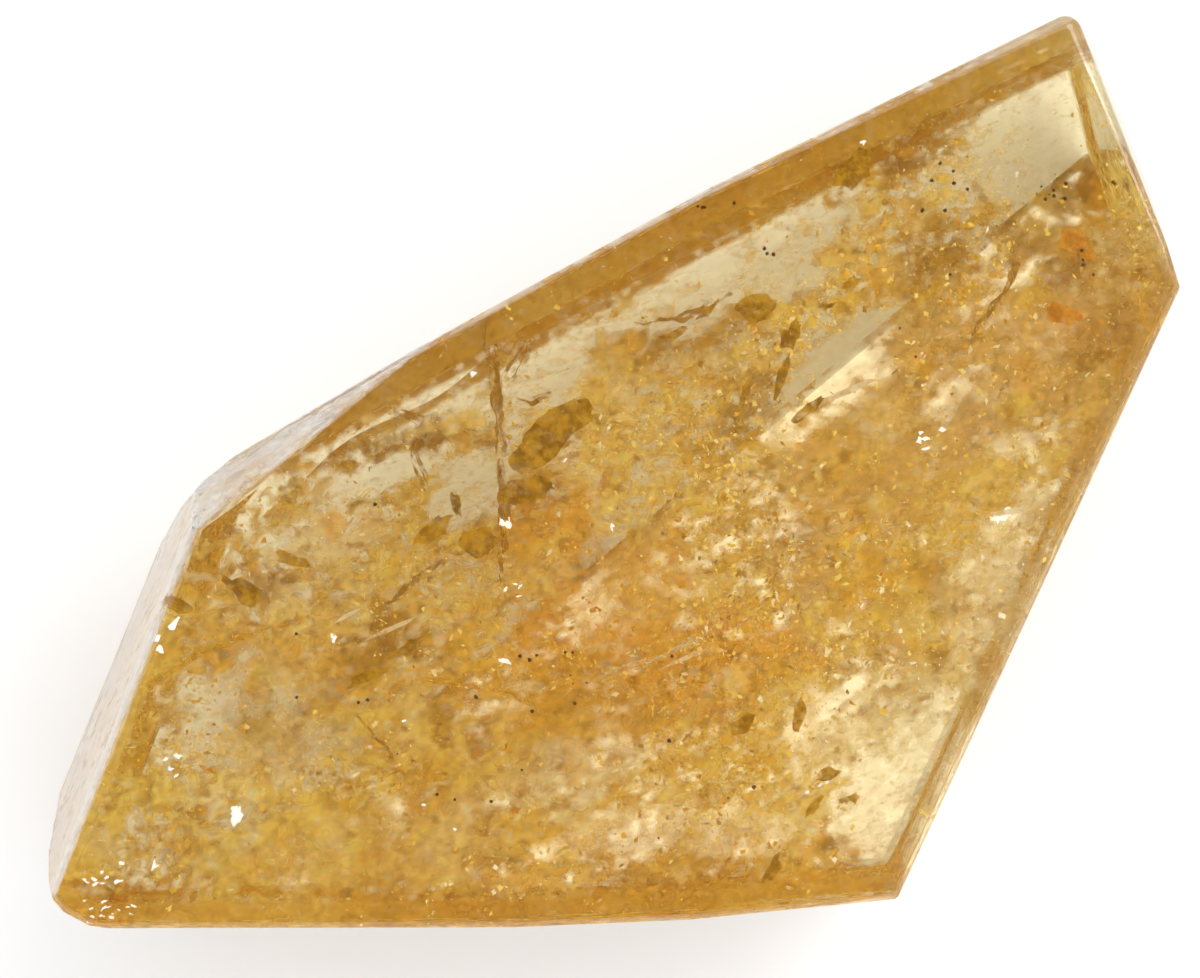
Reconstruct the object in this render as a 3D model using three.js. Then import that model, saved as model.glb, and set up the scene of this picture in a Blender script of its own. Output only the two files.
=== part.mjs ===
// Citrine crystal point: one solid piece of yellow quartz, cut and polished to a leaning kite of
// flat facets. It lies on the larger of its two back facets, with its broad front facet up.
//
// Millimetres, +Z up. The origin is on the resting plane, under the middle of the outline.
// +X runs along the stone towards its tip, +Y across it towards the long upper edge.

import * as THREE from 'three';
import { mergeVertices } from 'three/addons/utils/BufferGeometryUtils.js';

const degrees = Math.PI / 180;

// The driving dimensions.
const stoneHeight = 21.0;      // front facet above the resting plane, over the origin
const frontTilt = 6.0;         // degrees that the front facet falls away towards the tip
const backSlope = 20.0;        // degrees between the two back facets
const tipGirdle = 11.0;        // level where the tip's end is widest
const edgeRound = 0.45;        // radius that polishing leaves on an edge
const roundSteps = 4;          // segments across a rounded edge

// Each facet is a plane. `facing` is the compass direction that it looks in, counted in degrees
// from +X towards +Y. `lean` is how far it looks up (+) or down (-) from level. It passes
// `reach` mm out from the origin's axis, at the height `level`.
const restFacet = { facing: 0, lean: -90, reach: 0, level: 0 };
const frontFacet = { facing: -20, lean: 90 - frontTilt, reach: 0, level: stoneHeight };
const backFacet = { facing: 129.7, lean: backSlope - 90, reach: -3.5, level: 0 };

const leftBevel = { facing: 159, lean: 12.3, reach: 24.1, level: 13 };
const leftUnder = { facing: 155.5, lean: -18, reach: 22.55, level: 13 };

const upperSliver = { facing: 127.2, lean: 26, reach: 12.9, level: 22 };
const upperLeft = { facing: 119.1, lean: -4, reach: 11.97, level: 21 };
const upperRight = { facing: 116.7, lean: -4.5, reach: 12.45, level: 20 };

const tipBevelUpper = { facing: 21.4, lean: 7, reach: 36.6, level: tipGirdle };
const tipBevelLower = { facing: 17, lean: 4, reach: 36.1, level: tipGirdle };
const tipUnder = { facing: 19.5, lean: -14, reach: 36.4, level: tipGirdle };

const rightFlank = { facing: -24.9, lean: -4, reach: 26.1, level: 18 };
const lowerRight = { facing: -85.1, lean: -5, reach: 26.75, level: 18 };
const lowerMiddle = { facing: -88.3, lean: -4.5, reach: 26.67, level: 19 };
const lowerLeft = { facing: -90.6, lean: -4, reach: 27.0, level: 20 };

// Two corners of the outline were ground round: `count` narrow facets that touch an arc of
// `radius` mm about (x, y).
const shoulderCorner = {
  x: -17.4, y: -7.7, radius: 10, from: 151, to: 129, count: 3, lean: 3, level: 18,
};
const shoulderUnder = { facing: 140, lean: -14, reach: 17.45, level: 10 };
const footCorner = {
  x: -29.3, y: -22.2, radius: 4.55, from: 178, to: 262, count: 5, lean: -3, level: 20,
};

// Places that handling has worn rounder than the rest: how far round (x, y) the wear spreads,
// and the edges' radius at its middle.
const wornPlaces = [
  { x: -25, y: -1, spread: 7, radius: 0.9 },
  { x: 27, y: 27, spread: 5, radius: 1.0 },
];

function groundCorner({ x, y, radius, from, to, count, lean, level }) {
  const narrowFacets = [];
  for (let k = 0; k < count; k++) {
    const facing = from + ((to - from) * k) / (count - 1);
    const reach = x * Math.cos(facing * degrees) + y * Math.sin(facing * degrees) + radius;
    narrowFacets.push({ facing, lean, reach, level });
  }
  return narrowFacets;
}

function planeOf({ facing, lean, reach, level }) {
  const outwards = new THREE.Vector3(Math.cos(facing * degrees), Math.sin(facing * degrees), 0);
  const normal = outwards.clone().multiplyScalar(Math.cos(lean * degrees));
  normal.z = Math.sin(lean * degrees);
  const through = outwards.multiplyScalar(reach).setZ(level);
  return { normal, distance: normal.dot(through) };
}

// The point that lies `inset` mm inside three planes at once, or null where two are parallel.
function meetingPoint([a, b, c], inset = 0) {
  const acrossBC = b.normal.clone().cross(c.normal);
  const volume = a.normal.dot(acrossBC);
  if (Math.abs(volume) < 1e-6) return null;
  return acrossBC.multiplyScalar(a.distance - inset)
    .addScaledVector(c.normal.clone().cross(a.normal), b.distance - inset)
    .addScaledVector(a.normal.clone().cross(b.normal), c.distance - inset)
    .divideScalar(volume);
}

function roundingAt(point) {
  let radius = edgeRound;
  for (const place of wornPlaces) {
    const away = Math.hypot(point.x - place.x, point.y - place.y) / place.spread;
    radius = Math.max(radius, place.radius * (1 - away * away));
  }
  return radius;
}

// Every corner of the sharp stone, with its three facets and the ball that rounds it. The ball
// touches all three facets, so they stay flat right up to the rounding.
function findCorners(planes) {
  const corners = [];
  for (let a = 0; a < planes.length; a++) {
    for (let b = a + 1; b < planes.length; b++) {
      for (let c = b + 1; c < planes.length; c++) {
        const three = [planes[a], planes[b], planes[c]];
        const point = meetingPoint(three);
        if (!point) continue;
        if (planes.some((plane) => plane.normal.dot(point) > plane.distance + 1e-6)) continue;
        const radius = roundingAt(point);
        corners.push({ facets: [a, b, c], radius, centre: meetingPoint(three, radius) });
      }
    }
  }
  return corners;
}

function roundedStone(planes) {
  const corners = findCorners(planes);
  const middle = new THREE.Vector3();
  for (const corner of corners) middle.addScaledVector(corner.centre, 1 / corners.length);
  const positions = [];

  // A point of a corner's ball, in the direction that blends some of its facets' normals.
  const onBall = (corner, facetIds, shares) => {
    const direction = new THREE.Vector3();
    facetIds.forEach((id, k) => direction.addScaledVector(planes[id].normal, shares[k]));
    return direction.normalize().multiplyScalar(corner.radius).add(corner.centre);
  };

  const addTriangle = (p, q, r) => {
    const across = q.clone().sub(p).cross(r.clone().sub(p));
    const facesOut = across.dot(p.clone().sub(middle)) > 0;
    for (const v of facesOut ? [p, q, r] : [p, r, q]) positions.push(v.x, v.y, v.z);
  };

  // Flat facets: a fan over the points where the corner balls touch the plane.
  planes.forEach((plane, id) => {
    const rim = corners.filter((c) => c.facets.includes(id)).map((c) => onBall(c, [id], [1]));
    const hub = new THREE.Vector3();
    for (const point of rim) hub.addScaledVector(point, 1 / rim.length);
    const east = rim[0].clone().sub(hub).normalize();
    const north = plane.normal.clone().cross(east);
    const turn = (point) => {
      const spoke = point.clone().sub(hub);
      return Math.atan2(spoke.dot(north), spoke.dot(east));
    };
    rim.sort((p, q) => turn(p) - turn(q));
    for (let k = 1; k + 1 < rim.length; k++) addTriangle(rim[0], rim[k], rim[k + 1]);
  });

  // Rounded edges: a strip between the arcs of the two corners that share both facets.
  corners.forEach((from, i) => {
    for (const to of corners.slice(i + 1)) {
      const shared = from.facets.filter((id) => to.facets.includes(id));
      if (shared.length !== 2) continue;
      const arc = (corner, k) => onBall(corner, shared, [1 - k / roundSteps, k / roundSteps]);
      for (let k = 0; k < roundSteps; k++) {
        addTriangle(arc(from, k), arc(from, k + 1), arc(to, k + 1));
        addTriangle(arc(from, k), arc(to, k + 1), arc(to, k));
      }
    }
  });

  // Rounded corners: the part of each ball between its three facets.
  for (const corner of corners) {
    const at = (i, j) => onBall(corner, corner.facets, [roundSteps - i, i - j, j]);
    for (let i = 0; i < roundSteps; i++) {
      for (let j = 0; j <= i; j++) {
        addTriangle(at(i, j), at(i + 1, j), at(i + 1, j + 1));
        if (j < i) addTriangle(at(i, j), at(i + 1, j + 1), at(i, j + 1));
      }
    }
  }

  const geometry = new THREE.BufferGeometry();
  geometry.setAttribute('position', new THREE.Float32BufferAttribute(positions, 3));
  return mergeVertices(geometry, 1e-4);
}

const facets = [
  restFacet,
  frontFacet,
  backFacet,
  leftBevel,
  leftUnder,
  ...groundCorner(shoulderCorner),
  shoulderUnder,
  upperSliver,
  upperLeft,
  upperRight,
  tipBevelUpper,
  tipBevelLower,
  tipUnder,
  rightFlank,
  lowerRight,
  lowerMiddle,
  lowerLeft,
  ...groundCorner(footCorner),
];

const citrine = new THREE.MeshStandardMaterial({
  color: 0xd9a441,
  roughness: 0.05,
  metalness: 0,
  transparent: true,
  opacity: 0.6,
});

const crystal = new THREE.Mesh(roundedStone(facets.map(planeOf)), citrine);
crystal.name = 'crystal_point';
crystal.geometry.computeVertexNormals();

// The outline's middle goes exactly over the origin.
const outline = new THREE.Box3().setFromObject(crystal);
crystal.position.x = -(outline.min.x + outline.max.x) / 2;
crystal.position.y = -(outline.min.y + outline.max.y) / 2;

const citrinePoint = new THREE.Group();
citrinePoint.add(crystal);

export default citrinePoint;
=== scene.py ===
import math

import bmesh
import bpy
import numpy as np
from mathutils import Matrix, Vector, geometry


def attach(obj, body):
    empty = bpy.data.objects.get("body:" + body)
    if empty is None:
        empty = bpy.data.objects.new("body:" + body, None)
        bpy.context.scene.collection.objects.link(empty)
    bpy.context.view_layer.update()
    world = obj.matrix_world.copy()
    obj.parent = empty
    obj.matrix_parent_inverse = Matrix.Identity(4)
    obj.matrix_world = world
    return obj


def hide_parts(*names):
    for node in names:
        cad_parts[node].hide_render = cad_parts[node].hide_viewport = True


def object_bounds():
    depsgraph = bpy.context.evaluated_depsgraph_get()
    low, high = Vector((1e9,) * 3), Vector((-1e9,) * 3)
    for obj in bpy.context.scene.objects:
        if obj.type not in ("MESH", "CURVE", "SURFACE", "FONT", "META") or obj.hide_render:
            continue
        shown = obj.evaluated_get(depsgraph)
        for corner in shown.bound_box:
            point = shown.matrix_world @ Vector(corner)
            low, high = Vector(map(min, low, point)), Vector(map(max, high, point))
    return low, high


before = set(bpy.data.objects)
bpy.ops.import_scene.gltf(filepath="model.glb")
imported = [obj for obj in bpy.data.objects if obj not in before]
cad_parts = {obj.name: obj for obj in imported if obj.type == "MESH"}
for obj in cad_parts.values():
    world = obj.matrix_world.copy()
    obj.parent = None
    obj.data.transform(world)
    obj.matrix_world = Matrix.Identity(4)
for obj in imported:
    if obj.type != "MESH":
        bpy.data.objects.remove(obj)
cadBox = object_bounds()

mm = 0.001
scene = bpy.context.scene


class Wire:                             # a shader socket that works in Python sums
    def __init__(self, tree, socket=None):
        self.tree = tree
        self.socket = socket

    def node(self, kind, settings=None, inputs=None, output=0):
        made = self.tree.nodes.new("ShaderNode" + kind)
        for name, value in (settings or {}).items():
            setattr(made, name, value)
        for name, value in (inputs or {}).items():
            self.plug(made.inputs[name], value)
        return Wire(self.tree, made.outputs[output])

    def plug(self, target, value):
        if isinstance(value, Wire):
            self.tree.links.new(value.socket, target)
        else:
            target.default_value = value

    def maths(self, operation, first, second=0.0):
        return self.node("Math", {"operation": operation}, {0: first, 1: second})

    def __add__(self, other):
        return self.maths("ADD", self, other)

    def __radd__(self, other):
        return self.maths("ADD", other, self)

    def __sub__(self, other):
        return self.maths("SUBTRACT", self, other)

    def __rsub__(self, other):
        return self.maths("SUBTRACT", other, self)

    def __mul__(self, other):
        return self.maths("MULTIPLY", self, other)

    def __rmul__(self, other):
        return self.maths("MULTIPLY", other, self)

    def noise(self, size, detail=3.0, rough=0.55):      # size in mm
        inputs = {"Vector": self, "Scale": 1 / (size * mm), "Detail": detail, "Roughness": rough}
        return self.node("TexNoise", {"noise_dimensions": "3D"}, inputs)

    def step(self, low, high):                          # 0 below low, 1 above high
        inputs = {"Value": self, "From Min": low, "From Max": high}
        return self.node("MapRange", {"interpolation_type": "SMOOTHSTEP", "clamp": True}, inputs)

    def blend(self, first, second):                     # this wire is the share of second
        inputs = {"Factor": self, 6: first, 7: second}
        return self.node("Mix", {"data_type": "RGBA"}, inputs, output=2)


def newMaterial(name):
    material = bpy.data.materials.new(name)
    material.use_nodes = True
    material.node_tree.nodes.clear()
    return material, Wire(material.node_tree)


def finishMaterial(material, surface, volume=None):
    output = material.node_tree.nodes.new("ShaderNodeOutputMaterial")
    material.node_tree.links.new(surface.socket, output.inputs["Surface"])
    if volume:
        material.node_tree.links.new(volume.socket, output.inputs["Volume"])
    return material


studio = {
    "cameraHeight": 450 * mm,
    "lookAt": (-0.85 * mm, -1.10 * mm),
    "lens": 217.5,
    "sky": 2.0,
    "panel": 6.5,             # how bright the big soft panel is
    "panelAt": (0.50, 0.50, 0.70),
    "panelRim": 0.86,
    "panelMiddle": 0.93,
    "hole": 0.12,             # a dark patch straight overhead
    "holeRim": 0.80,
    "holeMiddle": 0.92,
    "floorWhite": 0.48,
    "floorGlow": 0.30,        # the floor shines a little by itself
    "cardPaintedLight": 1.0,         # the paper close under the crystal glows by itself: painted light that brightens the stone from below
    "cardInset": 0.4 * mm,
    "cardGap": 0.12 * mm,
    "floorReach": 6.0,
    "floorGap": 0.3 * mm,
}


def makeCamera():
    data = bpy.data.cameras.new("camera")
    data.lens = studio["lens"]
    data.clip_start = 0.01
    data.clip_end = 20
    camera = bpy.data.objects.new("camera", data)
    camera.location = (*studio["lookAt"], studio["cameraHeight"])
    scene.collection.objects.link(camera)
    scene.camera = camera


def makeStagePiece(name, corners, faces, glow):
    mesh = bpy.data.meshes.new(name)
    mesh.from_pydata(corners, [], faces)
    piece = bpy.data.objects.new(name, mesh)
    scene.collection.objects.link(piece)
    material, wire = newMaterial(name + "Paper")
    white = studio["floorWhite"]
    paper = wire.node("BsdfPrincipled", None, {
        "Base Color": (white, white, white, 1), "Roughness": 0.9, "Specular IOR Level": 0.0,
        "Emission Color": (1, 1, 1, 1), "Emission Strength": glow})
    mesh.materials.append(finishMaterial(material, paper))
    material.cycles.emission_sampling = "NONE"


def makeFloor():
    reach, low = studio["floorReach"], -studio["floorGap"]
    corners = [(-reach, -reach, low), (reach, -reach, low), (reach, reach, low), (-reach, reach, low)]
    makeStagePiece("floor", corners, [(0, 1, 2, 3)], studio["floorGlow"])


def readFacets(mesh):                   # each flat facet's normal and distance, largest face first
    facets = []
    for face in sorted(mesh.polygons, key=lambda face: -face.area):
        reach = face.normal.dot(face.center)
        known = any(face.normal.dot(n) > 0.99995 and abs(reach - d) < 0.02 * mm for n, d in facets)
        if face.area > 0.2 * mm * mm and not known:
            facets.append((face.normal.copy(), reach))
    return facets


def makeGlowingCard():                         # white paper close under the two back facets, glowing by itself: painted light under the stone
    points, faces = [], []
    undersides = sorted(readFacets(crystal.data), key=lambda facet: facet[0].z)[:2]
    for normal, reach in undersides:
        corners = [vert.co for vert in crystal.data.vertices if abs(vert.co.dot(normal) - reach) < 0.05 * mm]
        rim = [corners[i] for i in geometry.convex_hull_2d([co.xy for co in corners])]
        middle = sum(rim, Vector()) / len(rim)
        faces.append(tuple(range(len(points), len(points) + len(rim))))
        for co in rim:
            points.append(co + normal * studio["cardGap"] - (co - middle).normalized() * studio["cardInset"])
    makeStagePiece("card", points, faces, studio["cardPaintedLight"])


def makeRoom():
    world = bpy.data.worlds.new("softRoom")
    world.use_nodes = True
    world.cycles.sampling_method = "NONE"
    scene.world = world
    wire = Wire(world.node_tree)
    world.node_tree.nodes.clear()
    way = wire.node("TexCoord")
    height = wire.node("SeparateXYZ", None, {0: way}, output=2)
    hole = height.step(studio["holeRim"], studio["holeMiddle"])
    toPanel = Vector(studio["panelAt"]).normalized()
    near = wire.node("VectorMath", {"operation": "DOT_PRODUCT"}, {0: way, 1: toPanel}, output=1)
    panel = near.step(studio["panelRim"], studio["panelMiddle"])
    light = studio["sky"] + panel * (studio["panel"] - studio["sky"])
    light = light + hole * (studio["hole"] - light)
    sky = wire.node("Background", None, {"Color": (1, 1, 1, 1), "Strength": light})
    output = world.node_tree.nodes.new("ShaderNodeOutputWorld")
    world.node_tree.links.new(sky.socket, output.inputs["Surface"])


def setLight():
    scene.view_settings.view_transform = "Standard"
    scene.cycles.max_bounces = 20
    scene.cycles.transmission_bounces = 20
    scene.cycles.transparent_max_bounces = 40
    scene.cycles.diffuse_bounces = 6
    scene.cycles.glossy_bounces = 6
    scene.cycles.caustics_reflective = True
    scene.cycles.caustics_refractive = True


makeCamera()
makeFloor()
makeRoom()
setLight()
print("stage ready")

crystalLook = {
    "ior": 1.544,
    "roughness": 0.0,
    "tint": (0.94, 0.78, 0.15),
    "density": 40.0,          # absorption per metre
}


def makeCrystalMaterial():
    material, wire = newMaterial("citrine")
    quartz = wire.node("BsdfPrincipled", None, {
        "Base Color": (1, 1, 1, 1), "Roughness": crystalLook["roughness"],
        "IOR": crystalLook["ior"], "Transmission Weight": 1.0})
    body = wire.node("VolumeAbsorption", None, {
        "Color": (*crystalLook["tint"], 1), "Density": crystalLook["density"]})
    return finishMaterial(material, quartz, body)


def makeCrystal():
    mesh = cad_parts["crystal_point"].data.copy()
    crystal = bpy.data.objects.new("polishedCrystal", mesh)
    scene.collection.objects.link(crystal)
    work = bmesh.new()
    work.from_mesh(mesh)
    bmesh.ops.remove_doubles(work, verts=work.verts, dist=1e-7)
    bmesh.ops.recalc_face_normals(work, faces=work.faces)
    for face in work.faces:
        face.smooth = True
    work.to_mesh(mesh)
    work.free()
    mesh.materials.clear()
    mesh.materials.append(makeCrystalMaterial())
    shading = crystal.modifiers.new("flatFacets", "WEIGHTED_NORMAL")
    shading.weight = 100
    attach(crystal, "root")
    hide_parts("crystal_point")
    return crystal


crystal = makeCrystal()
makeGlowingCard()
print("crystal ready")

facets = [(np.array(n), d) for n, d in readFacets(crystal.data)]
frontNormal, frontReach = next(facet for facet in facets if facet[0][2] > 0.9)     # the largest one up
facetNormals = np.array([n for n, d in facets])
facetReaches = np.array([d for n, d in facets])


def depthInside(points):                # metres to the nearest facet, negative outside
    return (facetReaches - points @ facetNormals.T).min(axis=1)


def depthBelowFront(points):
    return frontReach - points @ frontNormal


def sunk(x, y, depth):                  # the place in mm that lies so deep under the front facet
    height = (frontReach / mm - x * frontNormal[0] - y * frontNormal[1]) / frontNormal[2]
    return np.array([x, y, height - depth])


def unit(vectors):
    vectors = np.asarray(vectors, float)
    return vectors / np.linalg.norm(vectors, axis=-1, keepdims=True)


dice = np.random.default_rng(7)
lattice = dice.random((32, 32, 32))


def lumps(points, size, octaves=3, shift=0.0):      # soft random lumps of that many mm, about 0 to 1
    total, weight, share = 0.0, 0.0, 1.0
    for octave in range(octaves):
        place = points / (size * mm) * 2 ** octave + 7.3 * octave + shift
        cell = np.floor(place)
        x, y, z = (place - cell).T
        x, y, z = x * x * (3 - 2 * x), y * y * (3 - 2 * y), z * z * (3 - 2 * z)
        i, j, k = (cell.astype(np.int32) % 32).T
        value = 0.0
        for right, shareX in ((i, 1 - x), ((i + 1) % 32, x)):
            for back, shareY in ((j, 1 - y), ((j + 1) % 32, y)):
                column = lattice[right, back, k] * (1 - z) + lattice[right, back, (k + 1) % 32] * z
                value = value + column * shareX * shareY
        total = total + share * value
        weight += share
        share *= 0.55
    return np.clip(0.5 + (total / weight - 0.5) * 1.7, 0, 1)


def wisps(points, size, along, stretch=4.0, shift=0.0):     # thin wavy streaks, 0 to 1
    along = unit(along)
    squeezed = points - (points @ along)[:, None] * along * (1 - 1 / stretch)
    drift = np.stack([lumps(points, size * 3, 2, shift + k) for k in (1.1, 2.3, 3.7)], axis=1) - 0.5
    return 1 - np.abs(2 * lumps(squeezed + drift * 2 * size * mm, size, 2, shift) - 1)


# Soft ovals seen from above, in mm: x, y, half length, half width, turn in degrees.
clearWindows = [
    (17.4, -19.2, 6.2, 3.4, 60), (26.4, 21.8, 6.8, 3.2, 32), (27.0, 26.0, 9.0, 2.4, 28),
    (-4.0, 6.6, 4.0, 1.9, 42), (-11.6, 4.6, 4.0, 1.5, 25), (3.0, 10.4, 5.6, 2.2, 30),
    (11.0, 14.4, 4.6, 2.4, 30), (14.0, 7.8, 3.4, 1.2, 40), (-8.8, -0.8, 3.0, 1.7, 35),
    (-14.0, 0.0, 2.6, 1.0, 20),
]
hazyWindows = [
    (7.4, -21.8, 3.6, 1.8, 5), (0.8, -21.6, 4.6, 1.8, 5), (12.8, -15.2, 4.0, 2.4, 30),
    (23.6, -5.4, 5.6, 2.4, 62), (-22.0, 0.0, 2.4, 1.0, 45),
]
thinned = [                             # only the lowest veil shows here
    (28.0, 17.8, 4.6, 2.6, 40), (13.2, 6.0, 4.6, 1.9, 41),
]
zones = {
    "cream": [(-21.0, -15.4, 5.0, 2.2, -20), (16.8, -17.0, 7.0, 4.4, 60), (26.0, 22.6, 8.0, 3.6, 30),
              (22.0, -9.0, 6.0, 3.4, 62), (-18.0, -4.0, 4.0, 2.2, 40), (-3.0, -18.0, 4.0, 2.0, 20)],
    "straw": [(4.0, 9.0, 12.0, 5.0, 30), (-10.0, 3.0, 6.0, 3.4, 30), (-14.0, -8.0, 6.0, 3.0, 20),
              (2.0, 1.0, 6.0, 3.4, 30)],
    "orange": [(-0.9, -6.6, 5.4, 3.6, 10), (-4.4, -2.4, 3.4, 2.0, 30), (26.7, 9.0, 3.6, 2.2, 60),
               (-2.0, -10.5, 7.0, 2.6, 15), (5.0, -11.6, 6.0, 2.6, 20)],
    # The first amber oval, long and narrow along the upper-left edge, darkens it: painted shade for the band
    # that the flank's refraction makes.
    "amber": [(0.2, 12.0, 18.0, 1.5, 28.7), (2.0, -25.0, 22.0, 2.4, 2), (-4.0, -13.8, 9.0, 2.6, 0),
              (-15.0, -11.4, 4.4, 2.0, 10), (-8.0, -22.8, 9.0, 1.8, 3), (-23.8, -11.0, 2.2, 4.4, 0)],
    "tan": [(19.0, 8.0, 10.0, 7.0, 55), (28.0, 8.0, 8.0, 4.0, 70), (11.0, -3.0, 7.0, 4.0, 40),
            (23.0, 14.0, 7.0, 3.6, 40)],
    "brown": [(-13.4, 1.6, 3.4, 1.2, 15), (8.2, 4.6, 2.6, 1.6, 60), (5.2, 8.6, 4.6, 1.4, 15),
              (-21.6, -7.0, 2.2, 1.4, -30), (-14.2, -10.2, 3.0, 1.4, 10), (17.6, 19.6, 4.0, 1.4, 25),
              (-4.6, -0.4, 2.4, 1.8, 45), (27.0, 12.6, 2.6, 1.2, 30), (21.0, 13.6, 5.6, 2.2, 35),
              (26.4, 17.0, 3.0, 1.6, 40)],
}
tones = {
    "gold": (0.93, 0.74, 0.20),
    "cream": (0.96, 0.89, 0.68),
    "straw": (0.96, 0.80, 0.33),
    "orange": (0.95, 0.58, 0.13),
    "amber": (0.82, 0.55, 0.10),
    "tan": (0.78, 0.60, 0.31),
    "brown": (0.52, 0.33, 0.07),
    # near white for films under the left bevels: a painted sheen standing in for their reflection
    "paintedBevelSheen": (0.97, 0.965, 0.95),
    # dark amber for the band along the upper-left flank: painted shade standing in for that flank's dark
    # refraction
    "paintedEdgeShade": (0.66, 0.42, 0.07),
}
calmSpots = [                           # finely clouded and smooth, with few flakes
    (17.0, 3.0, 10.0, 6.0, 50), (-0.5, -7.5, 7.0, 4.0, 15), (26.0, 8.0, 6.0, 5.0, 60),
    (-20.0, -14.0, 6.0, 3.0, -20), (-6.0, -15.0, 7.0, 2.4, 0), (4.0, 10.0, 8.0, 3.4, 30),
    (-16.0, -22.0, 8.0, 3.0, 0),
]


def nearSpots(points, spots):           # 1 in a spot's inner half, fading to 0 half a radius past its edge
    best = np.zeros(len(points))
    for x, y, length, width, turn in spots:
        c, s = math.cos(math.radians(turn)), math.sin(math.radians(turn))
        dx, dy = points[:, 0] / mm - x, points[:, 1] / mm - y
        away = np.hypot((dx * c + dy * s) / length, (dy * c - dx * s) / width)
        best = np.maximum(best, np.clip(1.5 - away, 0, 1))
    return best


def clearness(points):                  # 1 where the quartz is free of cracks
    ragged = (lumps(points, 2.4, 3, 4.4) - 0.5) * 1.1
    ragged = ragged + (wisps(points, 1.2, (1, 0.4, 0), 3.0, 6.1) - 0.5) * 0.5
    windows = np.clip((nearSpots(points, clearWindows) + ragged - 0.30) * 3, 0, 1)
    hazy = np.clip((nearSpots(points, hazyWindows) + ragged - 0.35) * 3, 0, 0.65)
    return np.maximum(windows, hazy)


def calmness(points):
    return np.clip(nearSpots(points, calmSpots) * 1.3 + (lumps(points, 5.0, 2, 8.8) - 0.5) * 1.2, 0, 1)


# Where veils run out against a flank they are denser: facings in degrees, width in mm, cover, tone.
rimLook = [
    # the first rim, dark and dense along the upper-left flank, is painted shade for the dark band that the
    # flank's refraction makes
    (110, 122, 1.8, 0.92, "paintedEdgeShade"), (10, 40, 1.1, 0.55, "cream"), (255, 285, 1.5, 0.60, "amber"),
    (320, 345, 0.9, 0.55, "tan"), (150, 255, 1.3, 0.55, "gold"),
]


def rimShares(points):                  # share of each rim at each point
    shares = []
    facings = np.degrees(np.arctan2(facetNormals[:, 1], facetNormals[:, 0])) % 360
    for lowest, highest, width, cover, tone in rimLook:
        chosen = (facings >= lowest) & (facings < highest) & (abs(facetNormals[:, 2]) < 0.4)
        away = (facetReaches[chosen] - points @ facetNormals[chosen].T).min(axis=1) / mm
        shares.append(np.clip((width - away) / 0.3, 0, 1))
    return shares


def mixTones(colour, name, share):
    return colour + (np.array(tones[name]) - colour) * share[:, None]


def toneColours(points):
    colour = np.repeat(np.array(tones["gold"])[None], len(points), axis=0)
    for k, (name, spots) in enumerate(zones.items()):
        ragged = (lumps(points, 2.8, 3, 5.0 + k) - 0.5) * 1.5
        share = np.clip((nearSpots(points, spots) + ragged - 0.25) * 1.6, 0, 0.85)
        colour = mixTones(colour, name, share)
    colour = mixTones(colour, "straw", np.clip(lumps(points, 3.2, 3, 20.0) * 2.2 - 1.2, 0, 0.7))
    colour = mixTones(colour, "amber", np.clip(lumps(points, 2.2, 3, 31.0) * 2.4 - 1.5, 0, 0.7))
    colour = mixTones(colour, "brown", np.clip(lumps(points, 0.9, 3, 42.0) * 5 - 3.6, 0, 0.8))
    colour = mixTones(colour, "cream", np.clip(lumps(points, 0.8, 3, 53.0) * 5 - 3.6, 0, 0.8))
    grain = 0.80 + 0.4 * lumps(points, 0.35, 2, 64.0)
    return np.clip(colour * grain[:, None], 0, 0.97)


def addInside(name, mesh, material):
    mesh.materials.append(material)
    piece = bpy.data.objects.new(name, mesh)
    scene.collection.objects.link(piece)
    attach(piece, "root")
    return piece


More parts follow.
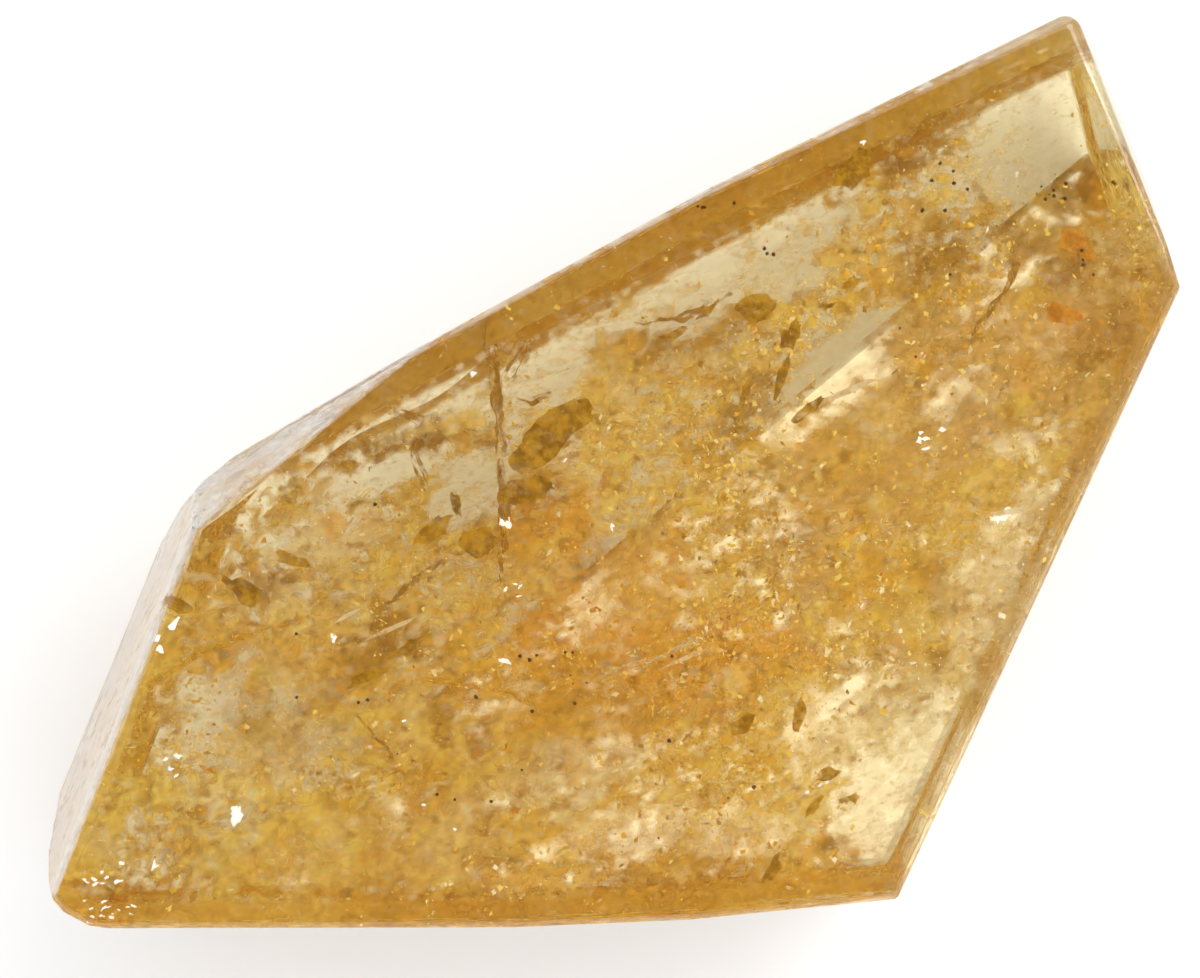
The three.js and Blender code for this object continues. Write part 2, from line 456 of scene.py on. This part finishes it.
# Broken plates sealed in the stone, in mm: x, y, depth, half length, half width, turn, lean, corners.
shardLook = {
    "olive": [
        (-3.9, 2.3, 1.6, 3.6, 1.3, 38, 8, 7), (-5.4, -1.2, 1.8, 2.0, 0.9, 22, 10, 6),
        (-10.6, -3.4, 1.7, 1.6, 0.65, 42, 8, 5), (-8.2, -4.2, 1.5, 1.2, 1.0, 10, 8, 6),
        (-9.4, -2.0, 1.3, 0.9, 0.35, -70, 14, 4), (8.4, 9.8, 1.7, 1.3, 1.0, 10, 10, 6),
        (10.4, 8.1, 1.5, 1.1, 0.65, 80, 10, 5), (9.9, 5.6, 1.5, 1.7, 0.36, 72, 12, 5),
        (7.6, 4.5, 1.5, 1.3, 0.25, 70, 12, 4), (14.4, 17.9, 1.3, 1.6, 1.0, 45, 8, 6),
        (12.6, 9.8, 1.3, 0.7, 0.28, 20, 16, 4), (14.1, 11.2, 1.3, 0.8, 0.34, 30, 16, 4),
        (7.6, -15.0, 1.7, 1.0, 0.7, 30, 15, 5), (10.9, -14.5, 1.7, 1.1, 0.5, 80, 16, 5),
        (9.4, -23.6, 1.7, 1.0, 0.55, 60, 16, 5), (12.7, -18.0, 1.5, 0.9, 0.5, 20, 18, 5),
        (11.8, -20.0, 1.5, 0.8, 0.3, 50, 18, 4), (14.0, -19.6, 1.5, 0.7, 0.4, 10, 18, 5),
        (-22.0, -7.0, 1.7, 1.5, 0.8, -35, 12, 6), (-19.2, -5.2, 1.7, 1.2, 0.5, -25, 12, 5),
        (-14.6, -12.2, 1.7, 1.8, 0.4, 24, 12, 5), (-12.6, -10.6, 1.7, 1.4, 0.35, 30, 12, 5),
        (-25.6, -8.0, 1.7, 0.8, 0.5, -20, 12, 5), (3.6, 8.2, 1.9, 1.0, 0.3, 18, 14, 5),
        (5.4, 9.4, 1.9, 0.8, 0.3, 40, 14, 4), (11.4, 3.6, 1.9, 1.3, 0.45, 38, 12, 5),
    ],
    "pale": [
        (13.9, 4.8, 2.0, 1.9, 0.24, 22, 10, 5), (13.0, 4.3, 2.2, 1.0, 0.17, 24, 10, 4),
        (14.6, 11.0, 2.0, 0.9, 0.2, 35, 16, 4), (-13.0, -9.2, 2.4, 2.0, 0.24, 26, 10, 4),
        (4.0, -11.2, 2.4, 1.7, 0.16, 22, 14, 4), (23.4, -2.4, 2.4, 1.4, 0.2, 10, 14, 5),
        (-2.6, 1.4, 2.2, 1.0, 0.22, 30, 14, 5), (-16.0, -8.6, 2.4, 1.5, 0.16, 30, 14, 4),
    ],
    "orange": [
        (27.6, 13.4, 2.4, 1.7, 0.85, -28, 10, 5), (26.7, 9.4, 3.0, 1.2, 0.7, -20, 12, 6),
        (-6.0, -20.2, 2.6, 0.5, 0.3, 40, 20, 4), (-24.2, -17.6, 2.4, 0.5, 0.22, -30, 10, 4),
    ],
}
shardTones = {                          # darkest, lightest
    "olive": ((0.36, 0.19, 0.01), (0.68, 0.42, 0.035)),
    "pale": ((0.90, 0.76, 0.44), (0.98, 0.92, 0.74)),
    "orange": ((0.66, 0.28, 0.03), (0.86, 0.46, 0.08)),
}


plateRoom = 3.2 * mm                    # down to this depth nothing is put over or round a plate


def overPlates(points):
    plates = [plate[:2] + plate[3:6] for kind in shardLook.values() for plate in kind]
    return (nearSpots(points, plates) > 0.3) & (depthBelowFront(points) < plateRoom)


veilLook = {
    "skin": 0.12,             # mm of clear quartz between a veil's rim and the facets
    "through": 0.5,           # share of light that passes on through a veil
    "contrast": 3.6,          # how lacy a veil is
    "patches": 0.40,          # shares of broad patches, streaks and fine grain
    "streaks": 0.42,
    "grain": 0.50,
    "densest": 0.94,
}


def makeVeilMaterial():
    material, wire = newMaterial("healedCrack")
    colour = wire.node("Attribute", {"attribute_name": "tone"})
    cover = wire.node("Attribute", {"attribute_name": "cover"}, output=2)
    lit = wire.node("BsdfDiffuse", None, {"Color": colour})
    glow = wire.node("BsdfTranslucent", None, {"Color": colour})
    clear = wire.node("BsdfTransparent")
    frosted = wire.node("MixShader", None, {0: veilLook["through"], 1: lit, 2: glow})
    return finishMaterial(material, wire.node("MixShader", None, {0: cover, 1: clear, 2: frosted}))


def slideInside(points, normal, skin, step):        # rim points go back to the facets, along the veil
    for facetNormal, reach in facets:
        slide = facetNormal - facetNormal.dot(normal) * normal
        grip = slide.dot(slide)
        if grip < 1e-4:
            continue
        over = points @ facetNormal - (reach - skin)
        near = (over > 0) & (over < 1.5 * step * math.sqrt(grip))
        points[near] -= over[near, None] / grip * slide
    return points


def veilCover(points, thick, shift, along, windowed, rims):
    fine = 1.15 - 0.75 * calmness(points)
    small = lumps(points, 0.55, 2, shift + 9) - 0.5
    patches = lumps(points, 4.5, 2, shift) - 0.5
    streaks = wisps(points, 1.4, along, 5.0, shift) - 0.5
    body = (veilLook["patches"] * patches + veilLook["streaks"] * fine * streaks
            + veilLook["grain"] * fine * small)
    cover = np.clip(body * veilLook["contrast"] + thick, 0, veilLook["densest"])
    threads = np.clip(wisps(points, 0.7, along, 4.0, shift + 2) * 5 - 4, 0, 1)
    clear = clearness(points)
    cover = cover * (1 - windowed * clear * (0.92 - 0.5 * threads))
    if rims:
        for share, (lowest, highest, width, dense, tone) in zip(rimShares(points), rimLook):
            # the painted edge shade stays dense even over the clear windows
            wanted = share * dense * (1 + small) * (1 - 0.9 * clear * (tone != "paintedEdgeShade"))
            cover = np.maximum(cover, wanted)
    return cover


def veilColours(points, tint, tone, rims):
    if tone:
        return plainColours(points, tone)
    colours = toneColours(points)
    if rims:
        for share, (lowest, highest, width, dense, name) in zip(rimShares(points), rimLook):
            colours = mixTones(colours, name, share * 0.8)
    return colours * tint


def makeVeil(normal, middle, thick, step=0.17, bend=1.0, along=(1, 0.3, 0), shift=0.0,
             tint=(1, 1, 1), fade=1.2, windowed=1.0, thins=0.0, tone=None, rims=False):
    step = step * mm
    skin = veilLook["skin"] * mm
    normal = unit(normal)
    side = unit(np.cross(normal, (0.3, 0.8, 0.15)))
    other = np.cross(normal, side)
    line = np.arange(-44 * mm, 44 * mm, step)
    u, v = (grid.ravel()[:, None] for grid in np.meshgrid(line, line))
    points = np.array(middle) * mm + u * side + v * other
    near = depthInside(points) > -(bend + 1) * mm
    rise = np.zeros(len(points))
    rise[near] = (lumps(points[near], 14, 2, shift) - 0.5) * 2 * bend * mm
    points = slideInside(points + rise[:, None] * normal, normal, skin, step)
    depth = depthInside(points)
    faces = gridFaces(len(line), len(line))
    faces = faces[(depth[faces] > skin * 0.9).all(axis=1)]
    used, faces = np.unique(faces, return_inverse=True)
    points, faces = points[used], faces.reshape(-1, 4)
    cover = veilCover(points, thick, shift, along, windowed, rims)
    cover = cover * np.clip((depthBelowFront(points) / mm - 0.15) / fade, 0, 1)
    cover = np.clip(cover * (1 - thins * np.clip(nearSpots(points, thinned) * 1.6, 0, 1)), 0, 0.96)
    cover[overPlates(points)] = 0
    faces = faces[(cover[faces] > 0.03).any(axis=1)]
    return points, faces, cover, veilColours(points, tint, tone, rims)


def gridFaces(rows, columns):
    index = np.arange(rows * columns).reshape(rows, columns)
    corners = [index[:-1, :-1], index[:-1, 1:], index[1:, 1:], index[1:, :-1]]
    return np.stack(corners, axis=-1).reshape(-1, 4)


def plainColours(points, tone):         # one tone with a fine grain
    grain = 0.82 + 0.36 * lumps(points, 0.4, 2, 12.0)
    return np.clip(grain[:, None] * np.array(tones[tone]), 0, 0.97)


def joinSheets(name, sheets):           # sheets of points, faces, cover and colours become one piece
    first = np.cumsum([0] + [len(points) for points, faces, cover, colours in sheets])
    points, faces, cover, colours = (list(part) for part in zip(*sheets))
    faces = np.concatenate([part + start for part, start in zip(faces, first)])
    colours = np.concatenate(colours)
    mesh = bpy.data.meshes.new(name)
    mesh.from_pydata(np.concatenate(points), [], faces.tolist())
    covers = mesh.attributes.new("cover", "FLOAT", "POINT")
    covers.data.foreach_set("value", np.concatenate(cover).astype(np.float32))
    solid = np.concatenate([colours, np.ones((len(colours), 1))], axis=1)
    painted = mesh.attributes.new("tone", "FLOAT_COLOR", "POINT")
    painted.data.foreach_set("color", solid.ravel())
    mesh.polygons.foreach_set("use_smooth", [True] * len(mesh.polygons))
    loose = bmesh.new()
    loose.from_mesh(mesh)
    bmesh.ops.delete(loose, geom=[vert for vert in loose.verts if not vert.link_faces], context="VERTS")
    loose.to_mesh(mesh)
    loose.free()
    print(name, len(mesh.polygons))
    return addInside(name, mesh, crackMaterial)


def makeVeils():
    leaned = frontNormal + (0.04, -0.03, 0)
    front = makeVeil(leaned, sunk(0, -2, 3.4), -0.35, shift=1.3, thins=0.85, rims=True)
    upper = makeVeil((0.16, 0.10, 1), (0, -4, 13.0), 0.36, shift=15.2, thins=0.85, rims=True)
    middle = makeVeil((-0.14, 0.16, 1), (2, -4, 8.6), 0.40, shift=7.7, thins=0.85, rims=True)
    joinSheets("veilFront", [front])
    joinSheets("veilUpper", [upper])
    joinSheets("veilMiddle", [middle])
    backNormal, backReach = min(facets, key=lambda facet: facet[0][2] + (facet[0][2] < -0.99) * 9)
    base = makeVeil((0, 0, 1), (0, 0, 0.35), 0.86, step=0.24, bend=0.0, shift=3.9, windowed=0.8, thins=-1.0)
    backMiddle = backNormal * (backReach / mm - 0.3)
    back = makeVeil(backNormal, backMiddle, 0.55, step=0.3, bend=0.0, shift=8.2, windowed=0.35)
    joinSheets("veilLow", [base, back])


# Thin films just under the side facets: facings in degrees, rises, cover, tint or tone.
filmLook = [
    # the first row, under the upper-left flank, darkens it into a band: painted shade for that flank's
    # refraction
    ((100, 135), (-0.4, 0), 0.30, (0.96, 0.86, 0.66), None),
    ((0, 40), (-0.4, 0), 0.30, (1.0, 0.97, 0.90), "straw"),
    ((150, 285), (-0.4, 0), 0.30, (1.0, 0.96, 0.86), None),
    ((320, 345), (-0.4, 0), 0.34, (1.0, 0.94, 0.88), None),
    # these three rows put near-white films under the left and upper-left bevels: a painted sheen for the
    # bevels' reflection
    ((100, 135), (0.1, 0.6), 0.80, (1, 1, 1), "paintedBevelSheen"),
    ((125, 156), (0, 0.1), 0.60, (1, 1, 1), "paintedBevelSheen"),
    ((156, 170), (0.1, 0.4), 1.50, (1, 1, 1), "paintedBevelSheen"),
]


def makeFilms():
    films = []
    for normal, reach in facets:
        facing = math.degrees(math.atan2(normal[1], normal[0])) % 360
        for facings, rises, thick, tint, tone in filmLook:
            if facings[0] <= facing < facings[1] and rises[0] < normal[2] < rises[1]:
                middle = normal * (reach / mm - 0.25)
                films.append(makeVeil(normal, middle, thick, step=0.35, bend=0.0, shift=facing, tint=tint,
                                      fade=0.3, windowed=0.6, tone=tone))
    joinSheets("flankFilms", films)


crackMaterial = makeVeilMaterial()
makeVeils()
makeFilms()
print("veils ready")

flakeLook = {
    "healedCracks": 26,
    "chips": 130000,
    "dust": 230000,
    "chipSize": (0.10, 0.34),           # mm
    "dustSize": (0.05, 0.13),
    "shares": {"gold": 0.36, "straw": 0.22, "cream": 0.16, "amber": 0.12, "brown": 0.14},
}


def paint(name, colour, roughness=0.6, specular=0.0, glow=0.0):
    material, wire = newMaterial(name)
    surface = wire.node("BsdfPrincipled", None, {
        "Base Color": (*colour, 1), "Roughness": roughness, "Specular IOR Level": specular,
        "Emission Color": (*colour, 1), "Emission Strength": glow})
    return finishMaterial(material, surface)


def turned(about, spread):              # random unit vectors near those given
    return unit(about + dice.normal(size=about.shape) * spread)


def crackPoints(count):                 # on gently curved sheets that cross the stone at random slants
    points, normals = [], []
    each = count // flakeLook["healedCracks"]
    for k in range(flakeLook["healedCracks"]):
        normal = unit(dice.normal(size=3) * (0.5, 0.5, 0.8))
        middle = np.array([dice.uniform(-26, 24), dice.uniform(-20, 12), dice.uniform(3, 19)]) * mm
        side = unit(np.cross(normal, (0.3, 0.8, 0.1)))
        other = np.cross(normal, side)
        u, v = dice.uniform(-34, 34, (2, each, 1)) * mm
        flat = middle + u * side + v * other
        rise = (lumps(flat, 9, 2, k) - 0.5)[:, None] * 4 * mm
        points.append(flat + rise * normal)
        normals.append(np.repeat(normal[None], each, axis=0))
    return np.concatenate(points), np.concatenate(normals)


def scatterPoints(count):
    low, high = (np.array(corner[:]) for corner in cadBox)
    return dice.uniform(low, high, (count, 3)), turned(np.zeros((count, 3)), 1.0)


def makeFlakeMesh(name, points, normals, sizes, corners):
    count = len(points)
    side = unit(np.cross(normals, unit(dice.normal(size=(count, 3)))))
    other = np.cross(normals, side)
    slim = dice.uniform(0.3, 0.9, count)
    rim = []
    for k in range(corners):
        angle = 2 * math.pi * (k + dice.uniform(-0.28, 0.28, count)) / corners
        reach = sizes * dice.uniform(0.6, 1.1, count)
        u, v = reach * np.cos(angle), reach * np.sin(angle) * slim
        rim.append(points + u[:, None] * side + v[:, None] * other)
    vertices = np.stack(rim, axis=1).reshape(-1, 3)
    mesh = bpy.data.meshes.new(name)
    mesh.vertices.add(len(vertices))
    mesh.vertices.foreach_set("co", vertices.ravel())
    mesh.loops.add(len(vertices))
    mesh.loops.foreach_set("vertex_index", np.arange(len(vertices)))
    mesh.polygons.add(count)
    mesh.polygons.foreach_set("loop_start", np.arange(count) * corners)
    mesh.update(calc_edges=True)
    return mesh


def pickTones(points):                  # a tone name for each flake, after the zones
    names = list(flakeLook["shares"])
    weights = np.tile(list(flakeLook["shares"].values()), (len(points), 1))
    for k, name in enumerate(names):
        weights[:, k] *= 0.4 + 1.2 * lumps(points, 2.5, 3, 70.0 + k) ** 2
        weights[:, k] *= 1 + 3 * nearSpots(points, zones.get(name, []))
    edges = np.cumsum(weights / weights.sum(axis=1, keepdims=True), axis=1)
    return np.array(names)[(dice.random((len(points), 1)) > edges).sum(axis=1).clip(0, len(names) - 1)]


def makeFlakes(kind, points, normals, size, corners, least):
    smallest, largest = size
    inside = depthInside(points) > (largest + 0.1) * mm
    points, normals = points[inside], normals[inside]
    thick = 0.6 * lumps(points, 3.0, 3, 80.0) + 0.4 * lumps(points, 0.8, 2, 90.0)
    crowd = (1 - clearness(points)) * (1 - 0.75 * calmness(points))
    crowd[depthBelowFront(points) < 3.6 * mm] *= 0.6
    crowd *= 1 - np.clip(nearSpots(points, thinned) * 1.3, 0, 0.85)
    kept = (thick > least) & (dice.random(len(points)) < crowd + 0.02) & ~overPlates(points)
    points, normals = points[kept], normals[kept]
    sizes = (smallest + (largest - smallest) * dice.random(len(points)) ** 2) * mm
    normals = turned(normals, 0.35)
    names = pickTones(points)
    for tone in flakeLook["shares"]:
        mine = names == tone
        name = kind + tone.capitalize()
        mesh = makeFlakeMesh(name, points[mine], normals[mine], sizes[mine], corners)
        addInside(name, mesh, flakePaints[tone])
        print(name, len(mesh.polygons))


flakePaints = {name: paint(name + "Flake", tones[name]) for name in flakeLook["shares"]}
makeFlakes("chips", *crackPoints(flakeLook["chips"]), flakeLook["chipSize"], 4, 0.40)
makeFlakes("dust", *scatterPoints(flakeLook["dust"]), flakeLook["dustSize"], 3, 0.40)
print("flakes ready")


plateCover = {"thinnest": 0.62, "more": 0.34}     # how opaque a plate is, and how much more in patches


def makeShardMaterial(name, dark, light):
    material, wire = newMaterial(name)
    place = wire.node("TexCoord", output=3)
    mottle = place.noise(0.9, 4.0, 0.65).step(0.38, 0.62)
    colour = mottle.blend((*dark, 1), (*light, 1))
    cover = plateCover["thinnest"] + place.noise(0.5, 4.0, 0.7).step(0.36, 0.54) * plateCover["more"]
    lit = wire.node("BsdfDiffuse", None, {"Color": colour})
    glow = wire.node("BsdfTranslucent", None, {"Color": colour})
    clear = wire.node("BsdfTransparent")
    frosted = wire.node("MixShader", None, {0: 0.5, 1: lit, 2: glow})
    return finishMaterial(material, wire.node("MixShader", None, {0: cover, 1: clear, 2: frosted}))


def tiltedFrame(turn, lean):            # two directions that span a plate
    turn, lean = math.radians(turn), math.radians(lean)
    side = np.array([math.cos(turn), math.sin(turn), 0])
    other = np.array([-math.sin(turn) * math.cos(lean), math.cos(turn) * math.cos(lean), math.sin(lean)])
    return side, other


def jaggedRim(corners, roughness):      # a broken polygon of about unit size
    angles = (np.arange(corners) + dice.uniform(-0.3, 0.3, corners)) * 2 * math.pi / corners
    rim = np.stack([np.cos(angles), np.sin(angles)], axis=1) * dice.uniform(0.75, 1.15, (corners, 1))
    for again in range(2):              # each edge is broken in two, twice over
        middles = (rim + np.roll(rim, -1, axis=0)) / 2
        lengths = np.linalg.norm(rim - np.roll(rim, -1, axis=0), axis=1, keepdims=True)
        middles = middles + dice.normal(size=middles.shape) * lengths * roughness
        rim = np.stack([rim, middles], axis=1).reshape(-1, 2)
    return rim


def pullInside(point, middle):          # back towards the middle, 16 steps at most, until it is in the stone
    for attempt in range(16):
        if depthInside(point[None] * mm)[0] > 0.3 * mm:
            break
        point = middle + (point - middle) * 0.85
    return point


def makeShards():
    for kind, plates in shardLook.items():
        points, faces = [], []
        for x, y, depth, length, width, turn, lean, corners in plates:
            side, other = tiltedFrame(turn, lean)
            rim = jaggedRim(corners, 0.13)
            middle = len(points)
            heart = sunk(x, y, depth)
            points.append(heart)
            for share in (0.5, 1.0):
                for u, v in rim * share:
                    corner = heart + u * length * side + v * width * other
                    points.append(pullInside(corner, heart))
            count = len(rim)
            for k in range(count):
                following = (k + 1) % count
                faces.append((middle, middle + 1 + k, middle + 1 + following))
                faces.append((middle + 1 + k, middle + 1 + count + k, middle + 1 + count + following,
                              middle + 1 + following))
        mesh = bpy.data.meshes.new(kind + "Shards")
        mesh.from_pydata(np.array(points) * mm, [], faces)
        addInside(kind + "Shards", mesh, makeShardMaterial(kind + "Shard", *shardTones[kind]))


# Cracks that stand on edge: their run seen from above, then top depth, height and slant, in mm.
crackLook = [
    ([(-8.0, 9.0), (-7.6, 6.6), (-7.2, 3.6), (-7.0, 0.8)], 1.6, 8.0, 0.36, "brown"),
    ([(-7.0, 0.8), (-6.8, -2.6), (-7.0, -5.6), (-6.8, -7.6)], 1.6, 6.0, 0.20, "brown"),
    ([(-11.7, 2.9), (-12.2, 1.0), (-11.4, -1.0)], 2.0, 6.0, 0.34, "brown"),
    ([(-5.3, 8.0), (-5.9, 6.6), (-6.5, 5.4)], 1.8, 6.0, 0.16, "brown"),
    ([(-6.1, 4.5), (-5.0, 4.1), (-3.9, 4.3)], 1.8, 5.0, 0.24, "brown"),
    ([(-15.3, -14.3), (-14.4, -16.0), (-13.3, -17.3)], 1.8, 6.0, 0.14, "brown"),
    ([(-12.0, -12.4), (-8.0, -13.0), (-4.0, -14.4)], 2.0, 6.0, 0.34, "amber"),
    ([(31.2, 11.0), (31.4, 8.8), (32.2, 7.0)], 2.0, 6.0, 0.34, "orange"),
    ([(21.4, 8.0), (23.2, 10.6), (24.0, 12.6)], 2.0, 5.0, 0.16, "brown"),
    ([(-28.0, -13.0), (-25.0, -11.0), (-21.0, -9.4), (-18.0, -8.8)], 2.0, 8.0, 0.34, "amber"),
    ([(-1.0, -12.2), (2.0, -11.4), (5.2, -9.8)], 1.6, 6.0, 0.14, "cream"),
    ([(-14.0, -8.4), (-11.8, -6.4), (-9.0, -4.6)], 1.8, 6.0, 0.30, "brown"),
    ([(1.0, 8.8), (4.0, 9.0), (7.0, 10.4)], 2.0, 5.0, 0.30, "brown"),
    ([(-13.8, 3.0), (-11.0, 2.6), (-8.4, 2.2)], 3.0, 6.0, 0.8, "brown"),
]


def runAlong(stops, count):             # evenly shared points on a bent line
    stops = np.array(stops, float)
    places = np.linspace(0, len(stops) - 1, count)
    return np.stack([np.interp(places, range(len(stops)), stops[:, axis]) for axis in (0, 1)], axis=1)


def makeCracks():
    sheets = []
    for k, (stops, top, height, slant, tone) in enumerate(crackLook):
        length = sum(math.dist(a, b) for a, b in zip(stops, stops[1:]))
        count, rows = max(8, round(length / 0.12)), 24
        run = runAlong(stops, count)
        heading = unit(run[-1] - run[0])
        across = np.array([-heading[1], heading[0]])
        down = np.repeat(np.linspace(0, 1, rows), count)
        flat = np.tile(run, (rows, 1)) + down[:, None] * across * slant
        points = np.column_stack([flat, sunk(*flat.T, top + height * down)[2]]) * mm
        points[:, :2] += ((lumps(points, 1.4, 3, k) - 0.5) * 0.7 * mm)[:, None] * across
        ends = np.sin(np.tile(np.linspace(0, math.pi, count), rows)).clip(0, 1)
        cover = (lumps(points, 0.7, 3, 3.0 * k) - 0.42) * 4 * ends ** 0.5
        cover = np.clip(cover * np.sin(down * math.pi) ** 0.3, 0, 0.9)
        faces = gridFaces(rows, count)
        faces = faces[(depthInside(points)[faces] > veilLook["skin"] * mm).all(axis=1)]
        sheets.append((points, faces, cover, plainColours(points, tone)))
    joinSheets("uprightCracks", sheets)


# Bright cleavage faces that also glow a little by themselves, a painted glint, in mm: x, y, depth, how many,
# spread, half length, turn.
sparkleLook = [
    (-26.0, -9.1, 0.9, 1, 0.0, 0.75, 58), (-26.9, -9.9, 0.9, 1, 0.0, 0.6, 32),
    (-26.8, -10.6, 0.9, 1, 0.0, 0.5, 62), (-30.2, -24.5, 1.2, 14, 1.3, 0.30, 20),
    (-29.6, -26.0, 1.4, 9, 1.0, 0.20, 0), (-27.4, -23.4, 0.8, 2, 0.3, 0.42, 35),
    (-22.6, -20.0, 0.9, 2, 0.35, 0.75, 48), (-26.1, -17.3, 0.9, 4, 0.7, 0.36, 40),
    (-6.4, -3.0, 1.6, 3, 0.3, 0.45, 110), (-6.2, -6.9, 1.6, 5, 0.6, 0.28, 30),
    (-0.3, -3.3, 1.4, 2, 0.2, 0.3, 80), (-8.4, 5.6, 1.6, 2, 0.2, 0.32, 50),
    (-16.8, -10.0, 1.4, 2, 0.3, 0.32, 60), (18.4, 1.8, 2.0, 5, 0.7, 0.36, 15),
    (23.3, -3.0, 2.6, 6, 1.0, 0.42, 5), (-4.2, 3.0, 1.8, 1, 0.0, 0.22, 70),
    (-3.0, 0.6, 1.8, 1, 0.0, 0.28, 60), (14.2, 19.6, 1.4, 2, 0.5, 0.24, 0),
    (-6.5, -11.3, 1.6, 1, 0.0, 0.42, -5), (12.2, -19.0, 2.2, 4, 1.4, 0.3, 20),
    (-11.0, -19.5, 1.6, 4, 3.0, 0.22, 10),
]


def makeSparkles():
    points, faces = [], []
    for x, y, depth, count, spread, size, turn in sparkleLook:
        for k in range(count):
            middle = sunk(x, y, depth) + dice.normal(size=3) * (spread, spread, 0.2) * 0.6
            side, other = tiltedFrame(turn + dice.normal() * 18, dice.uniform(-12, 12))
            rim = jaggedRim(dice.integers(3, 6), 0.16)
            rim = rim * (size * dice.uniform(0.5, 1.1), size * dice.uniform(0.2, 0.6))
            if depthInside(middle[None] * mm)[0] < (size + 0.2) * 0.3 * mm:
                continue
            first = len(points)
            points += [middle + u * side + v * other for u, v in rim]
            faces.append(tuple(range(first, first + len(rim))))
    mesh = bpy.data.meshes.new("sparkles")
    mesh.from_pydata(np.array(points) * mm, [], faces)
    # the cleavage flakes are glossy and also glow at 0.3 by themselves: painted glints
    addInside("sparkles", mesh, paint("cleavageWithPaintedGlint", (0.91, 0.93, 0.94), 0.3, 0.5, 0.3))


# Dark grains, in mm: x, y, depth, how many, spread.
speckLook = [
    (-5.0, -11.4, 1.8, 3, 0.6), (-2.6, -11.6, 1.8, 3, 1.4), (-2.6, -13.6, 1.8, 4, 1.2),
    (26.2, 16.9, 1.5, 8, 1.0), (29.8, 17.4, 1.5, 2, 0.3), (27.8, 12.6, 1.8, 5, 0.6),
    (9.4, 12.9, 1.5, 4, 0.4), (-14.0, -2.0, 1.8, 2, 0.2), (20.0, 17.4, 1.8, 6, 3.0),
    (4.6, 16.0, 1.8, 8, 3.0), (-9.0, -17.0, 1.8, 5, 4.0), (5.0, -14.0, 2.4, 6, 5.0),
    (-17.0, -13.0, 1.8, 5, 4.0), (18.0, 12.0, 1.8, 5, 4.0),
]


def makeSpecks():
    work = bmesh.new()
    for x, y, depth, count, spread in speckLook:
        for k in range(count):
            middle = sunk(x, y, depth) + dice.normal(size=3) * (spread, spread, 0.6) * 0.6
            if depthInside(middle[None] * mm)[0] < 0.4 * mm:
                continue
            grain = bmesh.ops.create_icosphere(work, subdivisions=2, radius=dice.uniform(0.05, 0.13) * mm)
            for vert in grain["verts"]:
                vert.co = vert.co * dice.uniform(0.7, 1.3) + Vector(middle) * mm
    mesh = bpy.data.meshes.new("darkGrains")
    work.to_mesh(mesh)
    work.free()
    addInside("darkGrains", mesh, paint("ironGrain", (0.10, 0.035, 0.01), 0.5, 0.3))


makeShards()
makeCracks()
makeSparkles()
makeSpecks()
print("shards and grains ready")
